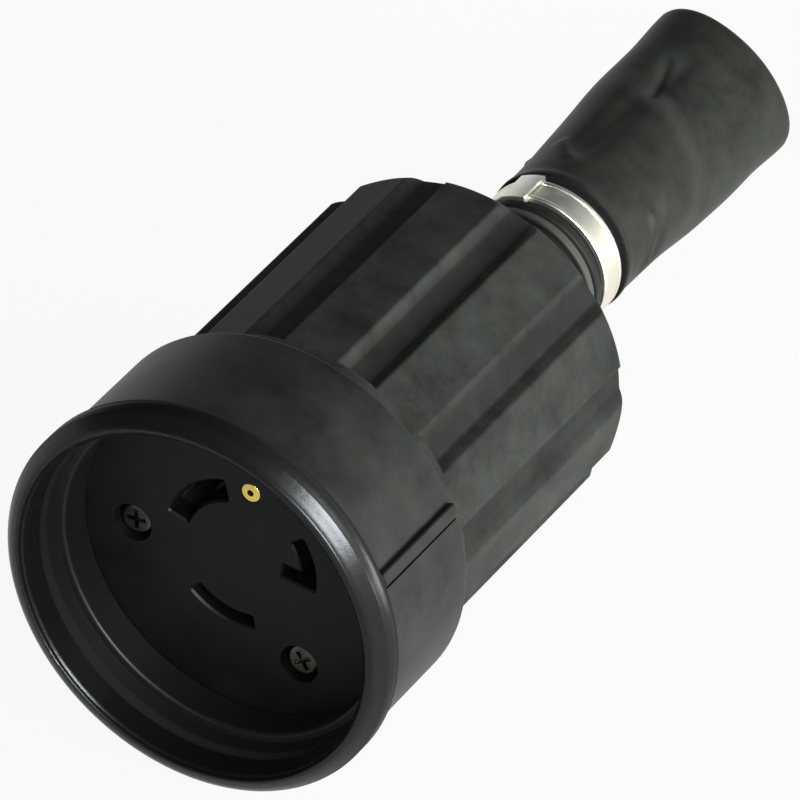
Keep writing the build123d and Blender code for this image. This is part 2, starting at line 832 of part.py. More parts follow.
# Clamp band: one strip with rolled edges, its two ends turned out as ears for the screw
half_gap = degrees(atan2(ear_gap / 2, band_outside))
band_middle = (band_front + band_back) / 2
ear_screw_circle = band_outside + ear_height * 0.55
with BuildPart() as clamp_band:
    with BuildSketch(half_plane(ear_angle + half_gap)):
        with Locations((band_radius, band_front)):
            Rectangle(band_thickness, band_width, align=(Align.MIN, Align.MIN))
        for bead_middle in (band_front + bead_width / 2, band_back - bead_width / 2):
            with Locations((band_outside, bead_middle)):
                Ellipse(bead_height, bead_width / 2)
    revolve(axis=coupler_axis, revolution_arc=360 - 2 * half_gap)
    for side in (-1, 1):
        ear_seat = sideways(band_middle, ear_angle, band_radius, side * ear_gap / 2)
        with BuildSketch(ear_seat) as ear_sketch:
            Rectangle(band_thickness + ear_height, band_width, align=(Align.MIN, Align.CENTER))
            fillet(ear_sketch.vertices().group_by(Axis.X)[-1], band_width / 4)
            with Locations((ear_screw_circle - band_radius, 0)):
                Circle(ear_screw_radius + slip_gap, mode=Mode.SUBTRACT)
        extrude(amount=band_thickness)
clamp_band.part.label = "clamp_band"
export_step(clamp_band.part, "parts/clamp_band.step")

# Band clip: a small folded keeper hooked over both edges of the band
clip_inside = band_outside + bead_height + slip_gap
clip_start = clip_angle - clip_sweep / 2
clip_front = band_front - slip_gap - clip_hook
clip_back = band_back + slip_gap + clip_thickness
with BuildPart() as band_clip:
    with BuildSketch(half_plane(clip_start)):
        with BuildLine():
            Polyline(
                (band_radius, clip_front),
                (clip_inside + clip_thickness, clip_front),
                (clip_inside + clip_thickness, clip_back),
                (band_radius, clip_back),
                (band_radius, clip_back - clip_thickness),
                (clip_inside, clip_back - clip_thickness),
                (clip_inside, clip_front + clip_hook),
                (band_radius, clip_front + clip_hook),
                close=True,
            )
        make_face()
    revolve(axis=coupler_axis, revolution_arc=clip_sweep)
band_clip.part.label = "band_clip"
export_step(band_clip.part, "parts/band_clip.step")

# Clamp screw and nut: through both ears
ear_outside = ear_gap / 2 + band_thickness
clamp_seat = sideways(band_middle, ear_angle, ear_screw_circle, ear_outside)
clamp_screw = pan_screw(
    clamp_seat,
    ear_screw_radius,
    2 * ear_outside + nut_height + 1,
    ear_screw_head_radius,
    ear_screw_head_height,
)
clamp_screw.label = "clamp_screw"
export_step(clamp_screw, "parts/clamp_screw.step")

with BuildPart() as clamp_nut:
    with BuildSketch(sideways(band_middle, ear_angle, ear_screw_circle, -ear_outside)):
        RegularPolygon(radius=nut_across / 2, side_count=6, major_radius=False)
        Circle(ear_screw_radius + slip_gap, mode=Mode.SUBTRACT)
    extrude(amount=nut_height)
clamp_nut.part.label = "clamp_nut"
export_step(clamp_nut.part, "parts/clamp_nut.step")

print(f"tilt {degrees(tilt):.2f} degrees, axis height at the rim {front_height:.2f}")
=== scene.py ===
import json
from math import atan2, cos, exp, pi, radians, sin, tau

import bmesh
import bpy
from mathutils import Matrix, Vector, noise


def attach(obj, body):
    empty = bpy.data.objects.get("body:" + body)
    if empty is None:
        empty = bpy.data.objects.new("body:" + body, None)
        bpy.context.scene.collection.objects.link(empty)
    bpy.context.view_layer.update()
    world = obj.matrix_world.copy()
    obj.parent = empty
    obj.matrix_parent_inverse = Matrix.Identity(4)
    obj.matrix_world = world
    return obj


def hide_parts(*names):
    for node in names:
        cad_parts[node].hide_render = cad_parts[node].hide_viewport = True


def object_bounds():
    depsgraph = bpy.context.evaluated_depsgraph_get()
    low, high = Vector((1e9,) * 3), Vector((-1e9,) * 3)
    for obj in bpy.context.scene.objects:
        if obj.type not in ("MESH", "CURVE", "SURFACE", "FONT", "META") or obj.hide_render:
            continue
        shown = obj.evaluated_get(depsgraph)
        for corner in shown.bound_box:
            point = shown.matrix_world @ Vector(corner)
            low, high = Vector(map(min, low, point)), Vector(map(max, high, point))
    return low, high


bl_info = {
    "name": "Cable coupler",
    "version": (1, 0, 0),
    "blender": (4, 5, 0),
    "location": "3D View > Sidebar > Coupler",
    "description": "Dresses an industrial cable coupler and sets its stage",
    "category": "Object",
}

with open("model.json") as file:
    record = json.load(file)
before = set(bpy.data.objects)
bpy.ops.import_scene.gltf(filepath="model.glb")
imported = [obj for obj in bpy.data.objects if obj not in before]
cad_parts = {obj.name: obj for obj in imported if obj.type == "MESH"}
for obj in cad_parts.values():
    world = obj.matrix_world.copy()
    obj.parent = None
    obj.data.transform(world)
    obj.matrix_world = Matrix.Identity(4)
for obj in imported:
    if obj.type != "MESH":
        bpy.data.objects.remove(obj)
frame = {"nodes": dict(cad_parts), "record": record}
cad_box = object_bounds()
nodes = frame["nodes"]
MM = 0.001

# The coupler's own axis, from the mouth that its record states. Depth runs from the front
# rim to the rear, and angles are seen from the front, anticlockwise from +X.
MOUTH_DEPTH = 12.95 * MM
mouth = next(m for m in frame["record"]["mounts"] if m["name"] == "plug_mouth")
front = Vector(mouth["axis"])
across = Vector((1, 0, 0))
upward = front.cross(across)
rim = Vector(mouth["pos_m"]) + front * MOUTH_DEPTH
coupler_place = Matrix.Translation(rim) @ Matrix((across, upward, front)).transposed().to_4x4()

# Ramps over the distance from the axis reach this far.
SPREAD_REACH = 40 * MM


def depth_of(point):
    """How far behind the front rim a point lies."""
    return (rim - point).dot(front)


def depths_of(node):
    """The least and greatest depth of a CAD node."""
    depths = [depth_of(vertex.co) for vertex in nodes[node].data.vertices]
    return min(depths), max(depths)


def rise(value, start, length):
    """0 up to a start, 1 from a length past it, and a soft rise between."""
    share = min(max((value - start) / length, 0), 1)
    return share * share * (3 - 2 * share)


def hump(value, middle, width):
    """1 in the middle, falling to nearly 0 two widths away."""
    return exp(-((value - middle) / width) ** 2)


class StageSettings(bpy.types.PropertyGroup):
    """Floor, lights and camera."""

    floor_color: bpy.props.FloatVectorProperty(
        name="Floor colour", description="Colour of the pale floor", subtype="COLOR", size=3,
        default=(0.86, 0.86, 0.85), min=0, max=1,
    )
    floor_glow: bpy.props.FloatProperty(
        name="Floor white", description="Share of plain white that the camera sees on the floor",
        default=0.92, min=0, max=1,
    )
    sky_strength: bpy.props.FloatProperty(
        name="Sky", description="Strength of the studio round the coupler", default=1.0, min=0,
    )
    side_power: bpy.props.FloatProperty(
        name="Side light", description="Power of the large light on the right", unit="POWER",
        default=10.0, min=0,
    )
    strip_power: bpy.props.FloatProperty(
        name="Strip light", description="Power of the strip that the lip reflects", unit="POWER",
        default=24.0, min=0,
    )
    strip_color: bpy.props.FloatVectorProperty(
        name="Strip colour", description="Colour of the strip that the lip reflects",
        subtype="COLOR", size=3, default=(0.88, 0.95, 1.0), min=0, max=1,
    )
    camera_azimuth: bpy.props.FloatProperty(
        name="Camera azimuth", description="Turn of the camera round the coupler",
        subtype="ANGLE", default=radians(28.486),
    )
    camera_elevation: bpy.props.FloatProperty(
        name="Camera elevation", description="Height of the camera above the horizon",
        subtype="ANGLE", default=radians(40.429),
    )
    camera_roll: bpy.props.FloatProperty(
        name="Camera roll", description="Tilt of the picture", subtype="ANGLE",
        default=radians(3.043),
    )
    camera_distance: bpy.props.FloatProperty(
        name="Camera distance", description="From the camera to the point that it looks at",
        unit="LENGTH", default=1.9498, min=0.2,
    )
    camera_lens: bpy.props.FloatProperty(
        name="Lens", description="Focal length in millimetres", default=525.27, min=20,
    )
    look_at: bpy.props.FloatVectorProperty(
        name="Look at", description="The point in the middle of the picture",
        subtype="TRANSLATION", unit="LENGTH", size=3, default=(-0.01142, 0.0, 0.01153),
    )


class RubberSettings(bpy.types.PropertyGroup):
    """Colours and gloss of the rubber pieces."""

    hood_color: bpy.props.FloatVectorProperty(
        name="Hood colour", description="Colour of the front hood", subtype="COLOR", size=3,
        default=(0.0225, 0.0240, 0.0222), min=0, max=1,
    )
    grip_color: bpy.props.FloatVectorProperty(
        name="Grip colour", description="Colour of the fluted grip", subtype="COLOR", size=3,
        default=(0.0350, 0.0368, 0.0335), min=0, max=1,
    )
    sleeve_color: bpy.props.FloatVectorProperty(
        name="Sleeve colour", description="Colour of the cable sleeve", subtype="COLOR", size=3,
        default=(0.0250, 0.0268, 0.0225), min=0, max=1,
    )
    seal_color: bpy.props.FloatVectorProperty(
        name="Seal colour", description="Colour of the seal ring", subtype="COLOR", size=3,
        default=(0.02, 0.02, 0.02), min=0, max=1,
    )
    hood_roughness: bpy.props.FloatProperty(
        name="Hood roughness", description="0 is a mirror, 1 is chalk", default=0.46, min=0, max=1,
    )
    grip_roughness: bpy.props.FloatProperty(
        name="Grip roughness", description="0 is a mirror, 1 is chalk", default=0.58, min=0, max=1,
    )
    sleeve_roughness: bpy.props.FloatProperty(
        name="Sleeve roughness", description="0 is a mirror, 1 is chalk", default=0.46, min=0,
        max=1,
    )
    grain_size: bpy.props.FloatProperty(
        name="Grain", description="Size of the moulded grain", unit="LENGTH", default=0.45 * MM,
        min=0.05 * MM,
    )


class PlasticSettings(bpy.types.PropertyGroup):
    """Colours of the plastic pieces."""

    face_color: bpy.props.FloatVectorProperty(
        name="Face colour", description="Colour of the socket face", subtype="COLOR", size=3,
        default=(0.0082, 0.0098, 0.0094), min=0, max=1,
    )
    carrier_color: bpy.props.FloatVectorProperty(
        name="Carrier colour", description="Colour of the contact carrier", subtype="COLOR",
        size=3, default=(0.010, 0.008, 0.007), min=0, max=1,
    )
    cord_grip_color: bpy.props.FloatVectorProperty(
        name="Cord grip colour", description="Colour of the cord grip", subtype="COLOR",
        size=3, default=(0.10, 0.06, 0.035), min=0, max=1,
    )


class MetalSettings(bpy.types.PropertyGroup):
    """Colours and gloss of the metal pieces."""

    band_color: bpy.props.FloatVectorProperty(
        name="Band colour", description="Colour of the clamp band", subtype="COLOR", size=3,
        default=(0.82, 0.78, 0.67), min=0, max=1,
    )
    screw_color: bpy.props.FloatVectorProperty(
        name="Screw colour", description="Colour of the steel screws", subtype="COLOR", size=3,
        default=(0.075, 0.072, 0.062), min=0, max=1,
    )
    brass_color: bpy.props.FloatVectorProperty(
        name="Brass colour", description="Colour of the contacts and inserts", subtype="COLOR",
        size=3, default=(0.07, 0.05, 0.024), min=0, max=1,
    )
    rivet_color: bpy.props.FloatVectorProperty(
        name="Rivet colour", description="Colour of the rivet in the face", subtype="COLOR",
        size=3, default=(0.62, 0.50, 0.11), min=0, max=1,
    )


class SleeveSettings(bpy.types.PropertyGroup):
    """Sizes of the cable sleeve and its folds."""

    round_radius: bpy.props.FloatProperty(
        name="Round radius", description="Outer radius at the clamp", unit="LENGTH",
        default=13.2 * MM, min=MM,
    )
    waist_radius: bpy.props.FloatProperty(
        name="Waist radius", description="Outer radius under the band", unit="LENGTH",
        default=12.25 * MM, min=MM,
    )
    skirt_radius: bpy.props.FloatProperty(
        name="Skirt radius", description="Outer radius before the rings", unit="LENGTH",
        default=11.8 * MM, min=MM,
    )
    notch_radius: bpy.props.FloatProperty(
        name="Notch radius", description="Outer radius between the rings", unit="LENGTH",
        default=12.6 * MM, min=MM,
    )
    ring_width: bpy.props.FloatProperty(
        name="Ring width", description="Width of each stiffening ring", unit="LENGTH",
        default=1.65 * MM, min=0.1 * MM,
    )
    notch_width: bpy.props.FloatProperty(
        name="Notch width", description="Gap between the stiffening rings", unit="LENGTH",
        default=0.7 * MM, min=0.1 * MM,
    )
    groove_margin: bpy.props.FloatProperty(
        name="Groove margin", description="Groove beside each edge of the band",
        unit="LENGTH", default=1.3 * MM, min=0.1 * MM,
    )
    bore_radius: bpy.props.FloatProperty(
        name="Bore radius", description="Radius of the spigot that it is pushed over",
        unit="LENGTH", default=10.3 * MM, min=MM,
    )
    wall: bpy.props.FloatProperty(
        name="Wall", description="Thickness of the free end's wall", unit="LENGTH",
        default=2.2 * MM, min=0.2 * MM,
    )
    flat_reach: bpy.props.FloatProperty(
        name="Flat reach", description="Half the width of the flattened end", unit="LENGTH",
        default=15.2 * MM, min=MM,
    )
    flat_depth: bpy.props.FloatProperty(
        name="Flat depth", description="Half the thickness of the flattened end",
        unit="LENGTH", default=10 * MM, min=MM,
    )
    flat_angle: bpy.props.FloatProperty(
        name="Flat angle", description="Direction of the flattened end's width",
        subtype="ANGLE", default=radians(-36),
    )
    buckle_depth: bpy.props.FloatProperty(
        name="Buckle depth", description="How far the near side sinks behind the buckle",
        unit="LENGTH", default=0.9 * MM, min=0,
    )
    crease_depth: bpy.props.FloatProperty(
        name="Crease depth", description="Depth of the small creases", unit="LENGTH",
        default=0.75 * MM, min=0,
    )


class Signal:
    """The output of a node. Sums and products of signals add Math nodes."""

    def __init__(self, shading, socket):
        self.shading = shading
        self.socket = socket

    def _math(self, operation, first, second):
        return self.shading.node("ShaderNodeMath", {"operation": operation}, {0: first, 1: second})

    def __add__(self, other):
        return self._math("ADD", self, other)

    def __radd__(self, other):
        return self._math("ADD", other, self)

    def __sub__(self, other):
        return self._math("SUBTRACT", self, other)

    def __rsub__(self, other):
        return self._math("SUBTRACT", other, self)

    def __mul__(self, other):
        return self._math("MULTIPLY", self, other)

    def __rmul__(self, other):
        return self._math("MULTIPLY", other, self)

    def __pow__(self, other):
        return self._math("POWER", self, other)

    def __rpow__(self, other):
        return self._math("POWER", other, self)


class Shading:
    """A node tree whose nodes are made in Python."""

    def __init__(self, owner):
        owner.use_nodes = True
        self.tree = owner.node_tree

    def node(self, kind, settings=None, inputs=None, output=0):
        """Adds a node, with its settings first and then its sockets, and gives one output."""
        made = self.tree.nodes.new(kind)
        for name, value in (settings or {}).items():
            if name == "blend":
                made.color_ramp.interpolation = value
            elif name == "stops":
                self._set_stops(made.color_ramp.elements, value)
            else:
                setattr(made, name, value)
        for name, value in (inputs or {}).items():
            self.feed(made.inputs[name], value)
        return Signal(self, made.outputs[output])

    def _set_stops(self, elements, stops):
        while len(elements) < len(stops):
            elements.new(1)
        for element, (position, level) in zip(elements, stops):
            element.position = position
            element.color = (level, level, level, 1)

    def feed(self, socket, value):
        """Links a signal to a socket, or sets the socket to a number, vector or colour."""
        if isinstance(value, Signal):
            self.tree.links.new(value.socket, socket)
        elif hasattr(value, "__len__") and socket.type == "RGBA":
            socket.default_value = (*value[:3], 1)
        else:
            socket.default_value = value

    def ramp(self, factor, *stops, blend="LINEAR"):
        """A grey ramp of a factor, as stops of position and level."""
        return self.node(
            "ShaderNodeValToRGB", {"blend": blend, "stops": stops}, {"Fac": factor},
        )

    def over(self, length, reach, stops, blend="LINEAR"):
        """A grey ramp over a length up to a reach, as stops of place in mm and level."""
        places = [(place * MM / reach, level) for place, level in stops]
        return self.ramp(length * (1 / reach), *places, blend=blend)

    def mix(self, factor, first, second):
        """A colour between two colours."""
        return self.node(
            "ShaderNodeMix", {"data_type": "RGBA"},
            {"Factor": factor, 6: first, 7: second}, output=2,
        )

    def toward(self, vectors, direction):
        """How far vectors reach in a direction."""
        return self.node(
            "ShaderNodeVectorMath", {"operation": "DOT_PRODUCT"}, {0: vectors, 1: direction},
            output="Value",
        )

    def seen_by_eye(self):
        """1 for rays from the camera, a mirror or glass, else 0."""
        camera, mirror, glass = (
            self.node("ShaderNodeLightPath", output=kind)
            for kind in ("Is Camera Ray", "Is Glossy Ray", "Is Transmission Ray")
        )
        return 1 - (1 - camera) * (1 - mirror) * (1 - glass)


class Finish(Shading):
    """A material with one shader, in the object's own coordinates."""

    def __init__(self, name):
        self.material = bpy.data.materials.new(name)
        super().__init__(self.material)
        self.shader = self.tree.nodes["Principled BSDF"]
        self.place = self.node("ShaderNodeTexCoord", output="Object")

    def depth(self):
        """How far behind the front rim the surface lies."""
        return rim.dot(front) - self.toward(self.place, front)

    def spread(self):
        """How far the surface lies from the coupler's axis."""
        sideways = self.toward(self.place, across) - rim.dot(across)
        height = self.toward(self.place, upward) - rim.dot(upward)
        return (sideways * sideways + height * height) ** 0.5

    def set(self, **values):
        """Sets or links the shader's sockets, by their names with underscores."""
        for name, value in values.items():
            self.feed(self.shader.inputs[name.replace("_", " ")], value)

    def around(self, mean, signal, spread):
        """A value that varies round a mean, by a spread, with a signal between 0 and 1."""
        return signal * spread + (mean - spread / 2)

    def noise(self, size, detail=3, roughness=0.55, place=None):
        """Smooth noise, 0 to 1, whose patches are about a size across."""
        return self.node(
            "ShaderNodeTexNoise", {"noise_dimensions": "3D"},
            {"Vector": place or self.place, "Scale": 1 / size, "Detail": detail,
             "Roughness": roughness},
        )

    def stretched(self, scale):
        """The object's coordinates, stretched."""
        return self.node("ShaderNodeMapping", {}, {"Vector": self.place, "Scale": scale})

    def bump(self, height, distance, strength=1.0, below=None):
        """A bump of a height, on top of another bump if there is one."""
        inputs = {"Height": height, "Distance": distance, "Strength": strength}
        if below:
            inputs["Normal"] = below
        return self.node("ShaderNodeBump", {}, inputs)


def brighter(color, share, tint=(1, 1, 1)):
    """A colour made brighter or, below 1, darker, and tinted."""
    return tuple(min(channel * share * toned, 1) for channel, toned in zip(color, tint))


WARM = (1.04, 1.00, 0.91)
COOL = (0.92, 1.02, 1.03)

# Rubber: the sizes of its patches, hues and specks of dust, how bright patches and dust are
# beside the colour, how high the patches stand, how much of the dust's colour shows, and what
# patches and dust do to the roughness.
PATCH_SIZE = 9 * MM
HUE_SIZE = 5 * MM
SPECK_SIZE = 1.1 * MM
DARK_PATCH = 0.55
PALE_PATCH = 1.45
DUST = 2.4
PATCH_HEIGHT = 0.12 * MM
DUST_SHARE = 0.075
PATCH_SPREAD = 0.16
DUST_DULLNESS = 0.06
BEVEL_SAMPLES = 6


def rubber_finish(name, color, roughness, grain, grain_height, gloss=0.25, edge=None):
    """Moulded rubber: fine grain, faint dust, uneven sheen and, if asked for, rounded edges.

    It keeps its parts, fine, shade, sheen and uneven, for pieces that add to them.
    """
    finish = Finish(name)
    finish.fine = finish.noise(grain, detail=2)
    patches = finish.noise(PATCH_SIZE, detail=6, roughness=0.7)
    hue = finish.ramp(finish.noise(HUE_SIZE, detail=5, roughness=0.65), (0.35, 0), (0.65, 1))
    specks = finish.ramp(
        finish.noise(SPECK_SIZE, detail=5, roughness=0.7), (0.60, 0), (0.78, 1),
    )
    dark, pale = (
        finish.mix(hue, brighter(color, share, WARM), brighter(color, share, COOL))
        for share in (DARK_PATCH, PALE_PATCH)
    )
    finish.shade = finish.mix(finish.ramp(patches, (0.32, 0), (0.68, 1)), dark, pale)
    finish.sheen = finish.around(roughness, patches, PATCH_SPREAD) + specks * DUST_DULLNESS
    rounded = None
    if edge:
        rounded = finish.node("ShaderNodeBevel", {"samples": BEVEL_SAMPLES}, {"Radius": edge})
    finish.uneven = finish.bump(patches, PATCH_HEIGHT, strength=0.5, below=rounded)
    finish.set(
        Base_Color=finish.mix(specks * DUST_SHARE, finish.shade, brighter(color, DUST)),
        Roughness=finish.sheen,
        Normal=finish.bump(finish.fine, grain_height, below=finish.uneven),
        Specular_IOR_Level=gloss,
    )
    return finish


# Plastic: the sizes and heights of its texture and its flow marks, how bright the marks are
# beside the colour, and what they do to the roughness.
TEXTURE_SIZE = 0.25 * MM
TEXTURE_HEIGHT = 0.012 * MM
FLOW_SIZE = 7 * MM
FLOW_HEIGHT = 0.05 * MM
DARK_FLOW = 0.4
PALE_FLOW = 1.7
FLOW_SPREAD = 0.2


def plastic_finish(name, color, roughness=0.5, gloss=0.5):
    """Moulded plastic with a faint matt texture and flow marks."""
    finish = Finish(name)
    texture = finish.noise(TEXTURE_SIZE, detail=2)
    flow = finish.noise(FLOW_SIZE, detail=5, roughness=0.6)
    marks = finish.bump(flow, FLOW_HEIGHT, strength=0.6)
    finish.set(
        Base_Color=finish.mix(
            flow, brighter(color, DARK_FLOW, WARM), brighter(color, PALE_FLOW, COOL),
        ),
        Roughness=finish.around(roughness, flow, FLOW_SPREAD),
        Normal=finish.bump(texture, TEXTURE_HEIGHT, below=marks),
        Specular_IOR_Level=gloss,
    )
    return finish


# Metal: the sizes of its streaks and stains, the streaks' height, how bright the stains are
# beside the colour, and what streaks and stains do to the roughness.
STREAK_SIZE = 0.5 * MM
STREAK_HEIGHT = 0.010 * MM
STAIN_SIZE = 3 * MM
STAINED = 0.55
STREAK_SPREAD = 0.14
STAIN_DULLNESS = 0.12


def metal_finish(name, color, roughness, stretch=(1, 1, 1), dull=0.5):
    """Rolled or turned metal: fine streaks, faint stains and an uneven sheen."""
    finish = Finish(name)
    streaks = finish.noise(STREAK_SIZE, place=finish.stretched(stretch))
    stains = finish.ramp(
        finish.noise(STAIN_SIZE, detail=5, roughness=0.65), (0.45, 0), (0.75, 1),
    )
    finish.set(
        Metallic=1.0,
        Base_Color=finish.mix(stains * dull, color, brighter(color, STAINED)),
        Roughness=finish.around(roughness, streaks, STREAK_SPREAD) + stains * STAIN_DULLNESS,
        Normal=finish.bump(streaks, STREAK_HEIGHT),
    )
    return finish


def nodes_like(*starts):
    """The CAD nodes whose names start in one of these ways."""
    return [name for name in nodes if name.startswith(starts)]


def dress(finish, *names):
    """Gives CAD nodes their finish."""
    for name in names:
        slots = nodes[name].data.materials
        slots.clear()
        slots.append(finish.material)


def new_piece(mesh_maker, name, finish):
    """A finished object in the coupler's place, from a bmesh made on the coupler's axis."""
    mesh = bpy.data.meshes.new(name)
    mesh_maker.transform(coupler_place)
    mesh_maker.to_mesh(mesh)
    mesh_maker.free()
    mesh.materials.append(finish.material)
    for polygon in mesh.polygons:
        polygon.use_smooth = True
    piece = bpy.data.objects.new(name, mesh)
    bpy.context.scene.collection.objects.link(piece)
    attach(piece, "root")
    return piece


class COUPLER_OT_hood(bpy.types.Operator):
    """Finishes the front hood and the seal behind it."""

    bl_idname = "coupler.hood"
    bl_label = "Front hood"

    GRAIN_HEIGHT = 0.006 * MM
    # How bright the lip and the inside of the mouth (an even, darker tone) and the painted shade
    # line are beside the colour, and how much the lip is polished and the line dulled.
    LIP_AND_INSIDE_TONE = 0.75
    SHADE_LINE_TONE = 0.15
    LIP_POLISH = 0.2
    SHADE_LINE_DULLNESS = 0.3
    # Ramp stops, as places in mm and levels. Over the depth: the lip, and a line of painted shade
    # between it and the collar.
    DEPTH_REACH = 8 * MM
    LIP = ((5.6, 1), (6.4, 0))
    PAINTED_SHADE_LINE = ((4.48, 0), (5.04, 1), (6.32, 1), (6.88, 0))
    # Over the distance from the axis: the mouth's wall, and what lies outside it.
    MOUTH_WALL = ((31.4, 1), (32, 0))
    OUTSIDE = ((32, 0), (32.6, 1))
    # Over depth and distance from the axis added up, which grow from the mouth's edge across
    # the lip to the collar: the height of the lip's crown.
    CROWN_START = 31.5 * MM
    CROWN_REACH = 10 * MM
    CROWN_HEIGHT = 1.74 * MM
    CROWN = (
        (1.5, 0.402), (1.9, 0.321), (2.67, 0.118), (4, 0), (5.2, 0.069), (6.4, 0.354), (8.2, 1),
    )

    def execute(self, context):
        rubber = context.scene.coupler_rubber
        color = rubber.hood_color
        hood = rubber_finish(
            "hood_rubber", color, rubber.hood_roughness, rubber.grain_size, self.GRAIN_HEIGHT,
            gloss=0.15,
        )
        depth = hood.depth()
        spread = hood.spread()
        lip = hood.over(depth, self.DEPTH_REACH, self.LIP)
        inside = hood.over(spread, SPREAD_REACH, self.MOUTH_WALL)
        # The lip and the inside of the mouth, which get an even, darker colour.
        lip_and_inside = hood.ramp(lip + inside, (0.1, 0), (0.9, 1))
        # Where the line of painted shade between the lip and the collar lies.
        line = hood.over(depth, self.DEPTH_REACH, self.PAINTED_SHADE_LINE)
        crown = hood.over(
            depth + spread - self.CROWN_START, self.CROWN_REACH, self.CROWN, blend="B_SPLINE",
        )
        outside = hood.over(spread, SPREAD_REACH, self.OUTSIDE)
        rolled = hood.bump(crown * outside, self.CROWN_HEIGHT, below=hood.uneven)
        # Painted shade: the line mask darkens the band between the lip and the collar.
        hood.set(
            Base_Color=hood.mix(
                line, hood.mix(lip_and_inside, hood.shade, brighter(color, self.LIP_AND_INSIDE_TONE)),
                brighter(color, self.SHADE_LINE_TONE),
            ),
            Roughness=hood.sheen - lip * (1 - line) * self.LIP_POLISH + line * self.SHADE_LINE_DULLNESS,
            Normal=hood.bump(hood.fine, self.GRAIN_HEIGHT, below=rolled),
        )
        seal = rubber_finish(
            "seal_rubber", rubber.seal_color, roughness=0.6, grain=0.3 * MM,
            grain_height=0.01 * MM,
        )
        dress(hood, "front_hood")
        dress(seal, "seal_ring")
        return {"FINISHED"}


class COUPLER_OT_face(bpy.types.Operator):
    """Finishes the socket face with its rivet and screws."""

    bl_idname = "coupler.face"
    bl_label = "Socket face"

    def execute(self, context):
        plastic = context.scene.coupler_plastic
        metal = context.scene.coupler_metal
        face = plastic_finish("face_plastic", plastic.face_color, roughness=0.46, gloss=0.11)
        rivet = metal_finish("rivet_brass", metal.rivet_color, roughness=0.28, dull=0.3)
        steel = metal_finish("screw_steel", metal.screw_color, roughness=0.24, dull=1.0)
        dress(face, "socket_face")
        dress(rivet, "face_rivet")
        dress(steel, *nodes_like("face_screw"))
        return {"FINISHED"}


class COUPLER_OT_contacts(bpy.types.Operator):
    """Finishes the contacts, their carrier and the terminals."""

    bl_idname = "coupler.contacts"
    bl_label = "Contacts"

    def execute(self, context):
        metal = context.scene.coupler_metal
        carrier = plastic_finish("carrier_plastic", context.scene.coupler_plastic.carrier_color)
        brass = metal_finish("contact_brass", metal.brass_color, roughness=0.34)
        steel = metal_finish("terminal_steel", metal.screw_color, roughness=0.32)
        dress(carrier, "contact_carrier")
        dress(
            brass, "contact_ground", "contact_line", "contact_neutral",
            *nodes_like("clamp_plate", "screw_insert"),
        )
        dress(steel, *nodes_like("terminal_screw"))
        return {"FINISHED"}


class COUPLER_OT_grip(bpy.types.Operator):
    """Finishes the fluted grip and the cord grip inside it."""

    bl_idname = "coupler.grip"
    bl_label = "Fluted grip"

    GRAIN_HEIGHT = 0.02 * MM
    EDGE_RADIUS = 0.9 * MM
    # Painted shade in the grooves: how bright beside the colour and how much shows; their
    # dullness.
    GROOVE_PAINTED_SHADE = 0.35
    GROOVE_SHADE_SHARE = 0.6
    GROOVE_DULLNESS = 0.2
    # Ramp stops, as places in mm and levels: the grooves over the distance from the axis, and
    # the neck over the depth.
    GROOVES = ((28.88, 1), (30.4, 0))
    DEPTH_REACH = 120 * MM
    NECK = ((100.8, 0), (103.2, 1))

    def execute(self, context):
        rubber = context.scene.coupler_rubber
        grip = rubber_finish(
            "grip_rubber", rubber.grip_color, rubber.grip_roughness, rubber.grain_size,
            self.GRAIN_HEIGHT, gloss=0.08, edge=self.EDGE_RADIUS,
        )
        grooves = grip.over(grip.spread(), SPREAD_REACH, self.GROOVES)
        neck = grip.over(grip.depth(), self.DEPTH_REACH, self.NECK)
        # Painted shade: the grooves' floors, up to the neck, get a darker colour.
        shaded = grooves * (1 - neck)
        grip.set(
            Base_Color=grip.mix(
                shaded * self.GROOVE_SHADE_SHARE, grip.shade, brighter(rubber.grip_color, self.GROOVE_PAINTED_SHADE),
            ),
            Roughness=grip.sheen + shaded * self.GROOVE_DULLNESS,
        )
        inner = plastic_finish(
            "cord_grip_plastic", context.scene.coupler_plastic.cord_grip_color,
        )
        steel = metal_finish(
            "cord_grip_steel", context.scene.coupler_metal.screw_color, roughness=0.32,
        )
        dress(grip, "grip_housing")
        dress(inner, "cord_grip_base", "cord_grip_saddle")
        dress(steel, *nodes_like("saddle_screw", "base_screw"))
        return {"FINISHED"}


